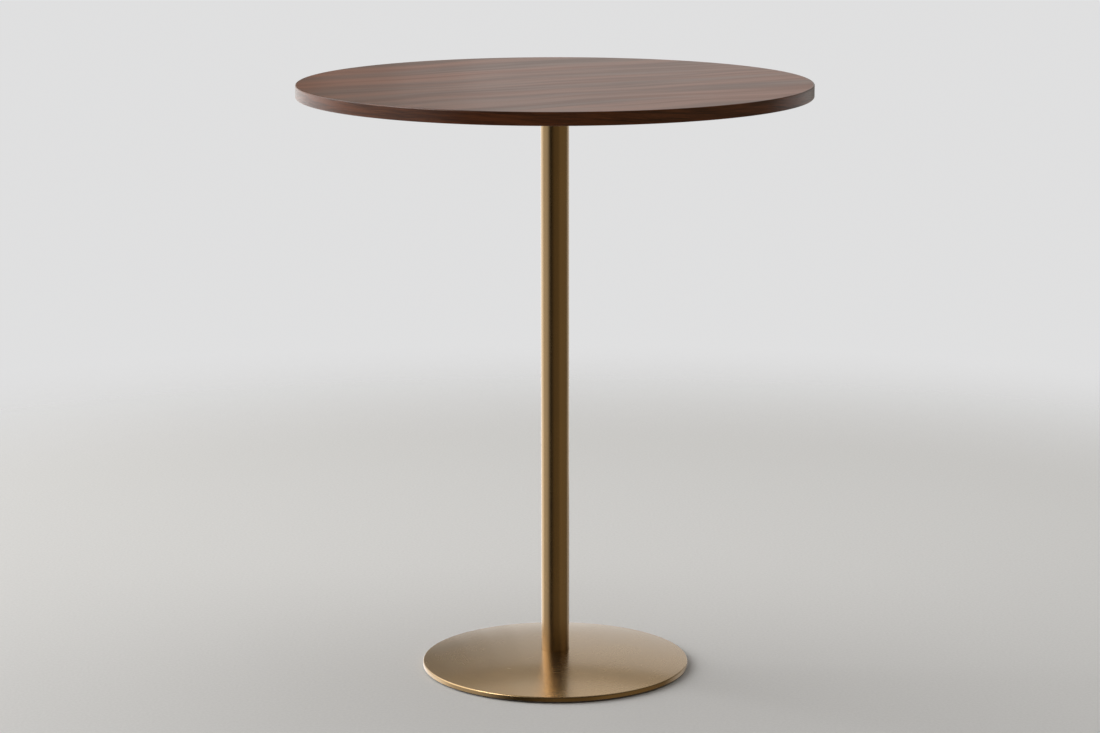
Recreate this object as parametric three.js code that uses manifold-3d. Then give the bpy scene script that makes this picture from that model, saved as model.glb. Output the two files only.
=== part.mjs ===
// Round bar-height pedestal table: a veneered round top with a solid lipping, an iron
// spider screwed under it, one slim brass-finished column on a tie rod, a low domed disc
// foot and four levelling glides.
//
// Millimetres, +Z up. The origin is on the floor, under the column's axis.

import * as THREE from "three";
import { mergeVertices } from "three/addons/utils/BufferGeometryUtils.js";
import Module from "manifold-3d";

const wasm = await Module();
wasm.setup();

// ---- Driving dimensions ----------------------------------------------------------

const TABLE_HEIGHT = 1050;
const TOP_RADIUS = 450;
const TOP_THICKNESS = 22.8;
const COLUMN_RADIUS = 25;
const COLUMN_WALL = 2;
const FOOT_RADIUS = 238;
const FOOT_HEIGHT = 11;
const FOOT_RISE = 19;

// Fits
const GAP = 0.3;
const LIPPING_GAP = 0.1;

// Top panel
const VENEER = 0.6;
const LIPPING_WIDTH = 3;
const ARRIS_RADIUS = 2;
const TOP_UNDERSIDE = TABLE_HEIGHT - TOP_THICKNESS;
const CORE_BOTTOM = TOP_UNDERSIDE + VENEER;
const CORE_TOP = TABLE_HEIGHT - VENEER;
const CORE_RADIUS = TOP_RADIUS - LIPPING_WIDTH;

// Threaded inserts in the top, for M6
const INSERT_RADIUS = 4.5;
const INSERT_BORE = 3.2;
const INSERT_LENGTH = 13;
const INSERT_SUNK = 0.1;
const INSERT_HOLE_RADIUS = INSERT_RADIUS + 0.2;
const INSERT_HOLE_DEPTH = INSERT_LENGTH + 1;

// Pan-head screws, M6 x 16
const SCREW_RADIUS = 2.9;
const SCREW_LENGTH = 16;
const PAN_RADIUS = 6;
const PAN_HEIGHT = 4.2;
const PAN_CROWN = 1.4;
const DRIVE_RADIUS = 2.2;
const DRIVE_DEPTH = 2.6;
const SCREW_TIP = 0.8;

// Spider: four T-section arms on a hub
const ARM_COUNT = 4;
const ARM_FIRST_ANGLE = Math.PI / 4;
const ARM_REACH = 235;
const ARM_WIDTH = 44;
const ARM_FLANGE = 5;
const RIB_WIDTH = 7;
const RIB_DEPTH_AT_HUB = 30;
const RIB_DEPTH_AT_TIP = 4;
const RIB_END = ARM_REACH - 12;
const SCREW_PLACES = [[120, 12.5], [213, -12.5]];
const SPIDER_SCREW_HOLE = 3.3;
const HUB_RADIUS = 31;
const HUB_DEPTH = 36;
const SOCKET_DEPTH = 14;
const HUB_WEB = 6;
const NUT_RECESS_RADIUS = 15;
const HUB_BOTTOM = TOP_UNDERSIDE - HUB_DEPTH;
const COLUMN_TOP = HUB_BOTTOM + SOCKET_DEPTH;
const WEB_TOP = COLUMN_TOP + HUB_WEB;

// Tie rod, M12, with its washer and nut
const ROD_RADIUS = 6;
const ROD_HOLE_RADIUS = 6.4;
const ROD_CHAMFER = 1;
const ROD_BOTTOM = 14.5;
const ROD_TOP = TOP_UNDERSIDE - 1.2;
const WASHER_RADIUS = 12;
const WASHER_THICKNESS = 2.5;
const NUT_ACROSS_FLATS = 18;
const NUT_HEIGHT = 10.8;

// Foot: a spun, low domed cover over a steel weight plate
const COVER_SHEET = 1.5;
const COVER_BEND = 2.5;
const COVER_HOLE_RADIUS = COLUMN_RADIUS + GAP;
const SKIRT_BOTTOM = 3;
const PLATE_BOTTOM = 3.5;
const PLATE_TOP = FOOT_HEIGHT - COVER_SHEET;
const PLATE_RADIUS = FOOT_RADIUS - COVER_SHEET - 0.5;

// Spigot that carries the column, held by four countersunk M6 x 16 screws
const SPIGOT_RADIUS = COLUMN_RADIUS - COLUMN_WALL - GAP;
const SPIGOT_TOP = 31.5;
const SPIGOT_CHAMFER = 1.5;
const SPIGOT_SCREW_CIRCLE = 14.5;
const SPIGOT_SCREW_COUNT = 4;
const SPIGOT_HOLE_RADIUS = 3.1;
const SPIGOT_HOLE_DEPTH = 13;
const SINK_RADIUS = 6;
const SINK_DEPTH = 3.1;
const SINK_CLEARANCE = 0.3;

// Levelling glides
const GLIDE_COUNT = 4;
const GLIDE_FIRST_ANGLE = Math.PI / 4;
const GLIDE_CIRCLE = 205;
const PAD_RADIUS = 15;
const PAD_ARRIS = 1;
const PAD_KEY_HOLE = 4;
const PAD_SHANK_HOLE = 4.5;
const PAD_GROOVE_RADIUS = 7.2;
const PAD_GROOVE_BOTTOM = 1;
const PAD_GROOVE_TOP = 2.6;
const STUD_RADIUS = 3.9;
const STUD_HOLE_RADIUS = 4.3;
const STUD_FLANGE_RADIUS = 6.9;
const STUD_FLANGE_BOTTOM = PAD_GROOVE_BOTTOM + 0.15;
const STUD_FLANGE_TOP = PAD_GROOVE_TOP - 0.15;
const STUD_TOP = PLATE_TOP - GAP;
const STUD_CHAMFER = 0.6;
const KEY_SOCKET_RADIUS = 2.3;
const KEY_SOCKET_DEPTH = 4;

// Sides of the round pieces
const DISC_SIDES = 72;
const COLUMN_SIDES = 36;
const SMALL_SIDES = 12;
const HEX_SIDES = 6;
const ARC_STEPS = 3;
const DOME_STEPS = 6;

// ---- Materials ---------------------------------------------------------------------

const walnutFace = new THREE.MeshStandardMaterial({ color: 0x6b4636, roughness: 0.38, metalness: 0 });
const walnutEdge = new THREE.MeshStandardMaterial({ color: 0x45261a, roughness: 0.42, metalness: 0 });
const backing = new THREE.MeshStandardMaterial({ color: 0x5b4334, roughness: 0.6, metalness: 0 });
const board = new THREE.MeshStandardMaterial({ color: 0xa98c68, roughness: 0.9, metalness: 0 });
const brassFinish = new THREE.MeshStandardMaterial({ color: 0x9c8256, roughness: 0.32, metalness: 1 });
const blackIron = new THREE.MeshStandardMaterial({ color: 0x1b1b1c, roughness: 0.6, metalness: 0.2 });
const zincSteel = new THREE.MeshStandardMaterial({ color: 0x9ea2a6, roughness: 0.4, metalness: 1 });
const nylon = new THREE.MeshStandardMaterial({ color: 0x18181a, roughness: 0.7, metalness: 0 });

// ---- Geometry helpers --------------------------------------------------------------

// A solid of revolution about +Z. Points are [radius, height], going out along the
// bottom, up the outside and back in, from axis to axis or round to the first point.
function turned(points, sides) {
  const profile = points.map(([radius, height]) => new THREE.Vector2(radius, height));
  return new THREE.LatheGeometry(profile, sides).rotateX(Math.PI / 2);
}

// The same for a ring, whose profile is closed here.
function turnedRing(points, sides) {
  return turned([...points, points[0]], sides);
}

function disc(radius, bottom, top, sides) {
  return turned([[0, bottom], [radius, bottom], [radius, top], [0, top]], sides);
}

function ring(inner, outer, bottom, top, sides) {
  return turnedRing([[inner, bottom], [outer, bottom], [outer, top], [inner, top]], sides);
}

// Points of a round, from one angle to another about a centre.
function arc(centreRadius, centreHeight, radius, from, to, steps = ARC_STEPS) {
  const points = [];
  for (let step = 0; step <= steps; step += 1) {
    const angle = from + ((to - from) * step) / steps;
    const across = centreRadius + radius * Math.cos(angle);
    const up = centreHeight + radius * Math.sin(angle);
    points.push([across, up]);
  }
  return points;
}

// An outline in the XY plane, raised from one height to another.
function raised(outline, bottom, top) {
  const geometry = new THREE.ExtrudeGeometry(outline, {
    depth: top - bottom,
    bevelEnabled: false,
    curveSegments: SMALL_SIDES / 2,
  });
  return geometry.translate(0, 0, bottom);
}

function polygonOutline(circleRadius, sides) {
  const outline = new THREE.Shape();
  for (let corner = 0; corner < sides; corner += 1) {
    const angle = (corner * 2 * Math.PI) / sides;
    const point = [circleRadius * Math.cos(angle), circleRadius * Math.sin(angle)];
    if (corner === 0) outline.moveTo(...point);
    else outline.lineTo(...point);
  }
  outline.closePath();
  return outline;
}

// A closed geometry as a solid that can be cut and joined.
function solid(geometry) {
  const bare = geometry.clone();
  bare.deleteAttribute("normal");
  bare.deleteAttribute("uv");
  const merged = mergeVertices(bare);
  const corners = merged.getIndex().array;
  const triangles = [];
  for (let i = 0; i < corners.length; i += 3) {
    const [a, b, c] = [corners[i], corners[i + 1], corners[i + 2]];
    if (a !== b && b !== c && c !== a) triangles.push(a, b, c);
  }
  return new wasm.Manifold(new wasm.Mesh({
    numProp: 3,
    vertProperties: new Float32Array(merged.getAttribute("position").array),
    triVerts: new Uint32Array(triangles),
  }));
}

function geometryOf(manifold) {
  const mesh = manifold.getMesh();
  const geometry = new THREE.BufferGeometry();
  geometry.setAttribute("position", new THREE.BufferAttribute(mesh.vertProperties, 3));
  geometry.setIndex(new THREE.BufferAttribute(mesh.triVerts, 1));
  geometry.computeVertexNormals();
  return geometry;
}

// One geometry with others cut out of it.
function cut(geometry, tools) {
  const result = tools.reduce((body, tool) => body.subtract(solid(tool)), solid(geometry));
  return geometryOf(result);
}

function joined(geometries) {
  const [first, ...others] = geometries;
  return geometryOf(others.reduce((body, other) => body.add(solid(other)), solid(first)));
}

// Places on a circle: [x, y] for each of count equal steps.
function onCircle(radius, count, firstAngle) {
  return Array.from({ length: count }, (_, k) => {
    const angle = firstAngle + (k * 2 * Math.PI) / count;
    return [radius * Math.cos(angle), radius * Math.sin(angle)];
  });
}

// ---- Assembly ------------------------------------------------------------------------

const table = new THREE.Group();

function addPiece(name, geometry, material, [x, y] = [0, 0]) {
  const piece = new THREE.Mesh(geometry, material);
  piece.name = name;
  piece.position.set(x, y, 0);
  table.add(piece);
}

// Two screws on each arm, one on each side of its rib: [x, y] of each.
function topScrewPlaces() {
  const places = [];
  for (let arm = 0; arm < ARM_COUNT; arm += 1) {
    const angle = ARM_FIRST_ANGLE + (arm * 2 * Math.PI) / ARM_COUNT;
    for (const [along, aside] of SCREW_PLACES) {
      const x = along * Math.cos(angle) - aside * Math.sin(angle);
      const y = along * Math.sin(angle) + aside * Math.cos(angle);
      places.push([x, y]);
    }
  }
  return places;
}

const topScrews = topScrewPlaces();
const glidePlaces = onCircle(GLIDE_CIRCLE, GLIDE_COUNT, GLIDE_FIRST_ANGLE);
const spigotScrews = onCircle(SPIGOT_SCREW_CIRCLE, SPIGOT_SCREW_COUNT, 0);

// Round cutting tools of one size, standing at a list of places.
function drills(places, radius, bottom, top) {
  return places.map(([x, y]) => disc(radius, bottom, top, SMALL_SIDES).translate(x, y, 0));
}

// ---- Top ------------------------------------------------------------------------------

function addTopPanel() {
  const holeTop = TOP_UNDERSIDE + INSERT_HOLE_DEPTH;
  const holes = () => drills(topScrews, INSERT_HOLE_RADIUS, TOP_UNDERSIDE - GAP, holeTop);
  const core = disc(CORE_RADIUS, CORE_BOTTOM, CORE_TOP, DISC_SIDES);
  const back = disc(CORE_RADIUS, TOP_UNDERSIDE, CORE_BOTTOM, DISC_SIDES);
  const face = disc(CORE_RADIUS, CORE_TOP, TABLE_HEIGHT, DISC_SIDES);
  addPiece("top_core", cut(core, holes()), board);
  addPiece("top_backing_veneer", cut(back, holes()), backing);
  addPiece("top_face_veneer", face, walnutFace);
}

// A thin solid-walnut band round the panel, with both arrises rounded.
function addEdgeLipping() {
  const inner = CORE_RADIUS + LIPPING_GAP;
  const roundCentre = TOP_RADIUS - ARRIS_RADIUS;
  const lower = arc(roundCentre, TOP_UNDERSIDE + ARRIS_RADIUS, ARRIS_RADIUS, -Math.PI / 2, 0);
  const upper = arc(roundCentre, TABLE_HEIGHT - ARRIS_RADIUS, ARRIS_RADIUS, 0, Math.PI / 2);
  const profile = [[inner, TOP_UNDERSIDE], ...lower, ...upper, [inner, TABLE_HEIGHT]];
  addPiece("edge_lipping", turnedRing(profile, DISC_SIDES), walnutEdge);
}

function addTopInserts() {
  const bottom = TOP_UNDERSIDE + INSERT_SUNK;
  topScrews.forEach((place, k) => {
    const insert = ring(INSERT_BORE, INSERT_RADIUS, bottom, bottom + INSERT_LENGTH, SMALL_SIDES);
    addPiece(`top_insert_${k + 1}`, insert, zincSteel, place);
  });
}

// ---- Spider and its screws --------------------------------------------------------------

// One T-section arm along +X: a flat flange with a round end, and a rib that tapers.
function armPieces() {
  const half = ARM_WIDTH / 2;
  const flange = new THREE.Shape();
  flange.moveTo(0, -half);
  flange.lineTo(ARM_REACH - half, -half);
  flange.absarc(ARM_REACH - half, 0, half, -Math.PI / 2, Math.PI / 2, false);
  flange.lineTo(0, half);
  flange.closePath();

  const flangeBottom = TOP_UNDERSIDE - ARM_FLANGE;
  const overlap = ARM_FLANGE / 2;
  const rib = new THREE.Shape();
  rib.moveTo(0, flangeBottom + overlap);
  rib.lineTo(0, TOP_UNDERSIDE - RIB_DEPTH_AT_HUB);
  rib.lineTo(HUB_RADIUS, TOP_UNDERSIDE - RIB_DEPTH_AT_HUB);
  rib.lineTo(RIB_END, flangeBottom - RIB_DEPTH_AT_TIP);
  rib.lineTo(RIB_END, flangeBottom + overlap);
  rib.closePath();
  const web = new THREE.ExtrudeGeometry(rib, { depth: RIB_WIDTH, bevelEnabled: false });
  web.translate(0, 0, -RIB_WIDTH / 2).rotateX(Math.PI / 2);
  return [raised(flange, flangeBottom, TOP_UNDERSIDE), web];
}

function addSpider() {
  const hub = disc(HUB_RADIUS, HUB_BOTTOM, TOP_UNDERSIDE, COLUMN_SIDES);
  const arms = [];
  for (let k = 0; k < ARM_COUNT; k += 1) {
    const angle = ARM_FIRST_ANGLE + (k * 2 * Math.PI) / ARM_COUNT;
    for (const piece of armPieces()) arms.push(piece.rotateZ(angle));
  }
  const socket = disc(COLUMN_RADIUS + GAP, HUB_BOTTOM - GAP, COLUMN_TOP, COLUMN_SIDES);
  const rodHole = disc(ROD_HOLE_RADIUS, COLUMN_TOP - GAP, WEB_TOP + GAP, SMALL_SIDES);
  const recess = disc(NUT_RECESS_RADIUS, WEB_TOP, TOP_UNDERSIDE + GAP, COLUMN_SIDES);
  const holes = drills(topScrews, SPIDER_SCREW_HOLE, TOP_UNDERSIDE - HUB_DEPTH, TOP_UNDERSIDE + GAP);
  const whole = joined([hub, ...arms]);
  addPiece("top_spider", cut(whole, [socket, rodHole, recess, ...holes]), blackIron);
}

// A pan-head screw standing point up, its head's seat at the flange's underside.
function addTopScrews() {
  const seat = TOP_UNDERSIDE - ARM_FLANGE;
  const bottom = seat - PAN_HEIGHT;
  const tip = seat + SCREW_LENGTH;
  const profile = [
    [0, bottom + DRIVE_DEPTH],
    [DRIVE_RADIUS, bottom + DRIVE_DEPTH],
    [DRIVE_RADIUS, bottom],
    [PAN_RADIUS - PAN_CROWN, bottom],
    [PAN_RADIUS - PAN_CROWN / 3, bottom + PAN_CROWN / 2],
    [PAN_RADIUS, bottom + 2 * PAN_CROWN],
    [PAN_RADIUS, seat],
    [SCREW_RADIUS, seat],
    [SCREW_RADIUS, tip - SCREW_TIP],
    [SCREW_RADIUS - SCREW_TIP, tip],
    [0, tip],
  ];
  topScrews.forEach((place, k) => {
    addPiece(`top_screw_${k + 1}`, turned(profile, SMALL_SIDES), zincSteel, place);
  });
}

// ---- Column -----------------------------------------------------------------------------

// The tube stands on the weight plate and passes through the cover.
function addColumn() {
  const bore = COLUMN_RADIUS - COLUMN_WALL;
  const tube = ring(bore, COLUMN_RADIUS, PLATE_TOP, COLUMN_TOP, COLUMN_SIDES);
  addPiece("column_tube", tube, brassFinish);
}

function addTieRod() {
  const rod = turned([
    [0, ROD_BOTTOM],
    [ROD_RADIUS - ROD_CHAMFER, ROD_BOTTOM],
    [ROD_RADIUS, ROD_BOTTOM + ROD_CHAMFER],
    [ROD_RADIUS, ROD_TOP - ROD_CHAMFER],
    [ROD_RADIUS - ROD_CHAMFER, ROD_TOP],
    [0, ROD_TOP],
  ], SMALL_SIDES);
  const washerTop = WEB_TOP + WASHER_THICKNESS;
  const washer = ring(ROD_HOLE_RADIUS, WASHER_RADIUS, WEB_TOP, washerTop, SMALL_SIDES);
  const cornerRadius = NUT_ACROSS_FLATS / 2 / Math.cos(Math.PI / HEX_SIDES);
  const hexagon = raised(polygonOutline(cornerRadius, HEX_SIDES), washerTop, washerTop + NUT_HEIGHT);
  const thread = disc(ROD_HOLE_RADIUS - GAP / 2, washerTop - GAP, washerTop + NUT_HEIGHT + GAP, SMALL_SIDES);
  addPiece("tie_rod", rod, zincSteel);
  addPiece("tie_rod_washer", washer, zincSteel);
  addPiece("tie_rod_nut", cut(hexagon, [thread]), zincSteel);
}

// A steel plug that locates the tube and takes the tie rod's lower thread.
function addSpigot() {
  const blank = turned([
    [0, PLATE_TOP],
    [SPIGOT_RADIUS, PLATE_TOP],
    [SPIGOT_RADIUS, SPIGOT_TOP - SPIGOT_CHAMFER],
    [SPIGOT_RADIUS - SPIGOT_CHAMFER, SPIGOT_TOP],
    [0, SPIGOT_TOP],
  ], COLUMN_SIDES);
  const bore = disc(ROD_HOLE_RADIUS - GAP / 2, PLATE_TOP - GAP, SPIGOT_TOP + GAP, SMALL_SIDES);
  const holeTop = PLATE_TOP + SPIGOT_HOLE_DEPTH;
  const holes = drills(spigotScrews, SPIGOT_HOLE_RADIUS, PLATE_TOP - GAP, holeTop);
  addPiece("base_spigot", cut(blank, [bore, ...holes]), zincSteel);
}

// A countersunk screw standing point up, its flat head flush with the plate's underside.
function addSpigotScrews() {
  const tip = PLATE_BOTTOM + SCREW_LENGTH;
  const profile = [
    [0, PLATE_BOTTOM + SINK_DEPTH],
    [DRIVE_RADIUS, PLATE_BOTTOM + SINK_DEPTH],
    [DRIVE_RADIUS, PLATE_BOTTOM],
    [SINK_RADIUS, PLATE_BOTTOM],
    [SCREW_RADIUS, PLATE_BOTTOM + SINK_DEPTH],
    [SCREW_RADIUS, tip - SCREW_TIP],
    [SCREW_RADIUS - SCREW_TIP, tip],
    [0, tip],
  ];
  spigotScrews.forEach((place, k) => {
    addPiece(`spigot_screw_${k + 1}`, turned(profile, SMALL_SIDES), zincSteel, place);
  });
}

// ---- Foot -------------------------------------------------------------------------------

// Spun sheet: a low dome with a hole for the column and a short rounded skirt. Each face
// of the sheet is an arc about the dome's centre that runs on into the bend at the rim.
function addCover() {
  const innerWall = FOOT_RADIUS - COVER_SHEET;
  const bendCentre = FOOT_RADIUS - COVER_BEND;
  const bendHeight = FOOT_HEIGHT - COVER_BEND;
  const bendDistance = (bendCentre ** 2 + FOOT_RISE ** 2) / (2 * FOOT_RISE);
  const domeHeight = bendHeight + FOOT_RISE - bendDistance;
  const rimAngle = Math.asin((bendHeight - domeHeight) / bendDistance);

  const bend = (radius, from, to) => arc(bendCentre, bendHeight, radius, from, to);
  const outerRadius = bendDistance + COVER_BEND;
  const innerRadius = outerRadius - COVER_SHEET;
  const outerHole = Math.acos(COVER_HOLE_RADIUS / outerRadius);
  const innerHole = Math.acos(COVER_HOLE_RADIUS / innerRadius);
  const profile = [
    [innerWall, SKIRT_BOTTOM],
    [FOOT_RADIUS, SKIRT_BOTTOM],
    ...bend(COVER_BEND, 0, rimAngle),
    ...arc(0, domeHeight, outerRadius, rimAngle, outerHole, DOME_STEPS).slice(1),
    ...arc(0, domeHeight, innerRadius, innerHole, rimAngle, DOME_STEPS),
    ...bend(COVER_BEND - COVER_SHEET, rimAngle, 0).slice(1),
  ];
  addPiece("base_cover", turnedRing(profile, DISC_SIDES), brassFinish);
}

function addWeightPlate() {
  const overlap = COVER_BEND - COVER_SHEET;
  const blank = turned([
    [0, PLATE_BOTTOM],
    [PLATE_RADIUS, PLATE_BOTTOM],
    [PLATE_RADIUS, PLATE_TOP - overlap],
    [PLATE_RADIUS - overlap, PLATE_TOP],
    [0, PLATE_TOP],
  ], DISC_SIDES);
  const sink = turned([
    [0, PLATE_BOTTOM - GAP],
    [SINK_RADIUS + SINK_CLEARANCE, PLATE_BOTTOM - GAP],
    [SINK_RADIUS + SINK_CLEARANCE, PLATE_BOTTOM],
    [SCREW_RADIUS + SINK_CLEARANCE, PLATE_BOTTOM + SINK_DEPTH],
    [SCREW_RADIUS + SINK_CLEARANCE, PLATE_TOP + GAP],
    [0, PLATE_TOP + GAP],
  ], SMALL_SIDES);
  const sinks = spigotScrews.map(([x, y]) => sink.clone().translate(x, y, 0));
  const threads = drills(glidePlaces, STUD_HOLE_RADIUS, PLATE_BOTTOM - GAP, PLATE_TOP + GAP);
  addPiece("base_weight", cut(blank, [...sinks, ...threads]), blackIron);
}

// ---- Glides -----------------------------------------------------------------------------

// A nylon pad with a groove that holds the stud's flange and lets it turn.
function glidePad() {
  const lower = arc(PAD_RADIUS - PAD_ARRIS, PAD_ARRIS, PAD_ARRIS, -Math.PI / 2, 0);
  return turnedRing([
    [PAD_KEY_HOLE, 0],
    ...lower,
    [PAD_RADIUS, PLATE_BOTTOM],
    [PAD_SHANK_HOLE, PLATE_BOTTOM],
    [PAD_SHANK_HOLE, PAD_GROOVE_TOP],
    [PAD_GROOVE_RADIUS, PAD_GROOVE_TOP],
    [PAD_GROOVE_RADIUS, PAD_GROOVE_BOTTOM],
    [PAD_KEY_HOLE, PAD_GROOVE_BOTTOM],
  ], SMALL_SIDES);
}

// An M8 stud with a flange at its foot and a hexagon socket for a key from below.
function glideStud() {
  const blank = turned([
    [0, STUD_FLANGE_BOTTOM],
    [STUD_FLANGE_RADIUS, STUD_FLANGE_BOTTOM],
    [STUD_FLANGE_RADIUS, STUD_FLANGE_TOP],
    [STUD_RADIUS, STUD_FLANGE_TOP],
    [STUD_RADIUS, STUD_TOP - STUD_CHAMFER],
    [STUD_RADIUS - STUD_CHAMFER, STUD_TOP],
    [0, STUD_TOP],
  ], SMALL_SIDES);
  const socketTop = STUD_FLANGE_BOTTOM + KEY_SOCKET_DEPTH;
  const outline = polygonOutline(KEY_SOCKET_RADIUS, HEX_SIDES);
  return cut(blank, [raised(outline, STUD_FLANGE_BOTTOM - GAP, socketTop)]);
}

function addGlides() {
  glidePlaces.forEach((place, k) => {
    addPiece(`glide_pad_${k + 1}`, glidePad(), nylon, place);
    addPiece(`glide_stud_${k + 1}`, glideStud(), zincSteel, place);
  });
}

addTopPanel();
addEdgeLipping();
addTopInserts();
addSpider();
addTopScrews();
addColumn();
addTieRod();
addSpigot();
addSpigotScrews();
addCover();
addWeightPlate();
addGlides();

export default table;
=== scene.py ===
from math import acos, asin, atan2, cos, pi, radians, sin, tan

import bmesh
import bpy
from mathutils import Matrix, Vector


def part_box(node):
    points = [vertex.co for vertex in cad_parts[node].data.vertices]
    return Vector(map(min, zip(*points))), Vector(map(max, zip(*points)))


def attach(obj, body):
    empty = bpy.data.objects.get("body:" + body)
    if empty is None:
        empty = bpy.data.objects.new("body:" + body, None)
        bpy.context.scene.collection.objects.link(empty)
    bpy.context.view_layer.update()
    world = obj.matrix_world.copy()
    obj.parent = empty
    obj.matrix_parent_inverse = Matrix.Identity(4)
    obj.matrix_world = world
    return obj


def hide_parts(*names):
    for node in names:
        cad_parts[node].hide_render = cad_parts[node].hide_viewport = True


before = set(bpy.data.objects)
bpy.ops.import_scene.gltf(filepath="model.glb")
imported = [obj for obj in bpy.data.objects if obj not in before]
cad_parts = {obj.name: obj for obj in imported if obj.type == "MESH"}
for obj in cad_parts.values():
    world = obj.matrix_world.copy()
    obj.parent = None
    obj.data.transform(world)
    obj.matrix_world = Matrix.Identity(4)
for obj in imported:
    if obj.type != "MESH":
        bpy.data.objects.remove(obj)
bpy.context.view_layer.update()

# A round bar-height pedestal table: a walnut-veneered top on an iron spider, one slim
# satin-brass column, and a low domed brass-covered foot on four levelling glides.
# Metres, +Z up, with the origin on the floor under the column's axis.

MM = 0.001

# ---- Sides and rounding ------------------------------------------------------------

DISC_SIDES = 256
TUBE_SIDES = 96
SMALL_SIDES = 36
ROUND_STEPS = 5
FLAT_GUARD = 0.12 * MM
SHARP_ANGLE = radians(32)

EDGE_ARRIS = 2 * MM
COVER_SHEET = 1.5 * MM
COVER_BEND = 2.5 * MM
COVER_RISE = 19 * MM
COVER_GAP = 0.3 * MM
DOME_STEPS = 48
SHEET_ARRIS = 0.15 * MM
LIPPING_GAP = 0.1 * MM
TUBE_ARRIS = 0.35 * MM
TUBE_WALL = 2 * MM
PAD_ARRIS = 1 * MM
PAD_TOP_ARRIS = 0.4 * MM

# ---- Threads and drives --------------------------------------------------------------

THREAD_STEPS = 6
M6_PITCH = 1 * MM
M6_DEPTH = 0.55 * MM
M6_RADIUS = 2.9 * MM
M8_PITCH = 1.25 * MM
M8_DEPTH = 0.65 * MM
M8_RADIUS = 3.9 * MM
PLAIN_SHANK = 1.2 * MM
TIP_CHAMFER = 0.8 * MM
DRIVE_RADIUS = 1.95 * MM
DRIVE_LOBE = 0.3 * MM
DRIVE_DEPTH = 2.6 * MM
DRIVE_RIM = 2.7 * MM
LOBES = 6
PAN_HEIGHT = 4.2 * MM
PAN_CROWN = 2.4 * MM
SINK_DEPTH = 3.1 * MM
SINK_LAND = 0.3 * MM
KEY_RADIUS = 2.3 * MM
KEY_DEPTH = 4 * MM
STUD_FLANGE = 1.3 * MM
INSERT_COUNT = 8
SPIGOT_SCREW_COUNT = 4
GLIDE_COUNT = 4

# ---- Spider --------------------------------------------------------------------------

ARM_COUNT = 4
ARM_FIRST_ANGLE = radians(45)
ARM_WIDTH = 44 * MM
ARM_REACH = 235 * MM
ARM_FLANGE = 5 * MM
ARM_END_SIDES = 24
RIB_WIDTH = 7 * MM
RIB_DEPTH_AT_HUB = 30 * MM
RIB_DEPTH_AT_TIP = 4 * MM
RIB_END = 223 * MM
HUB_RADIUS = 31 * MM
SOCKET_RADIUS = 25.3 * MM
SOCKET_DEPTH = 14 * MM
HUB_WEB = 6 * MM
ROD_HOLE_RADIUS = 6.4 * MM
NUT_RECESS_RADIUS = 15 * MM
SCREW_HOLE_RADIUS = 3.3 * MM
CAST_BEVEL = 0.9 * MM
CAST_BEVEL_STEPS = 2
CAST_BEVEL_ANGLE = radians(40)
INSERT_HOLE_RADIUS = 4.7 * MM

# ---- Camera --------------------------------------------------------------------------

LENS = 102.05
SENSOR = 36
CAMERA_PLACE = (0, -5.4091, 1.6206)
CAMERA_PITCH = radians(11.22956)
CAMERA_YAW = radians(-0.0946)
CAMERA_ROLL = radians(-0.06526)


# ---- Mesh helpers --------------------------------------------------------------------

def heights(node):
    low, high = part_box(node)
    return low.z, high.z


def centre(node):
    low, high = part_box(node)
    return (low.x + high.x) / 2, (low.y + high.y) / 2


def radius_of(node):
    low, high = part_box(node)
    return (high.x - low.x) / 2


def finished(name, mesh):
    """An object made from a bmesh, smooth but for its real corners."""
    bmesh.ops.recalc_face_normals(mesh, faces=mesh.faces)
    for face in mesh.faces:
        face.smooth = True
    data = bpy.data.meshes.new(name)
    mesh.to_mesh(data)
    mesh.free()
    data.set_sharp_from_angle(angle=SHARP_ANGLE)
    made = bpy.data.objects.new(name, data)
    bpy.context.scene.collection.objects.link(made)
    return made


def outline(corners):
    """Points of an outline of (radius, height, rounding) corners, each rounded by an arc.
    A point close to each end of an arc keeps the flat beyond it shading flat."""
    points = []
    count = len(corners)
    for place, (across, up, rounding) in enumerate(corners):
        corner = Vector((across, up))
        if rounding == 0:
            points.append((across, up))
            continue
        before = (Vector(corners[place - 1][:2]) - corner).normalized()
        after = (Vector(corners[(place + 1) % count][:2]) - corner).normalized()
        half = acos(max(-1, min(1, before.dot(after)))) / 2
        middle = corner + (before + after).normalized() * rounding / sin(half)
        reach = rounding / tan(half)
        start = corner + before * reach - middle
        end = corner + after * reach - middle
        first = atan2(start.y, start.x)
        sweep = (atan2(end.y, end.x) - first + pi) % (2 * pi) - pi
        points.append(tuple(corner + before * (reach + FLAT_GUARD)))
        for step in range(ROUND_STEPS + 1):
            angle = first + sweep * step / ROUND_STEPS
            points.append((middle.x + rounding * cos(angle), middle.y + rounding * sin(angle)))
        points.append(tuple(corner + after * (reach + FLAT_GUARD)))
    return points


def arc(middle, radius, first, last, steps=ROUND_STEPS):
    """An outline's corners along an arc about a (radius, height) middle."""
    angles = [first + (last - first) * step / steps for step in range(steps + 1)]
    return [(middle[0] + radius * cos(turn), middle[1] + radius * sin(turn), 0) for turn in angles]


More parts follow.
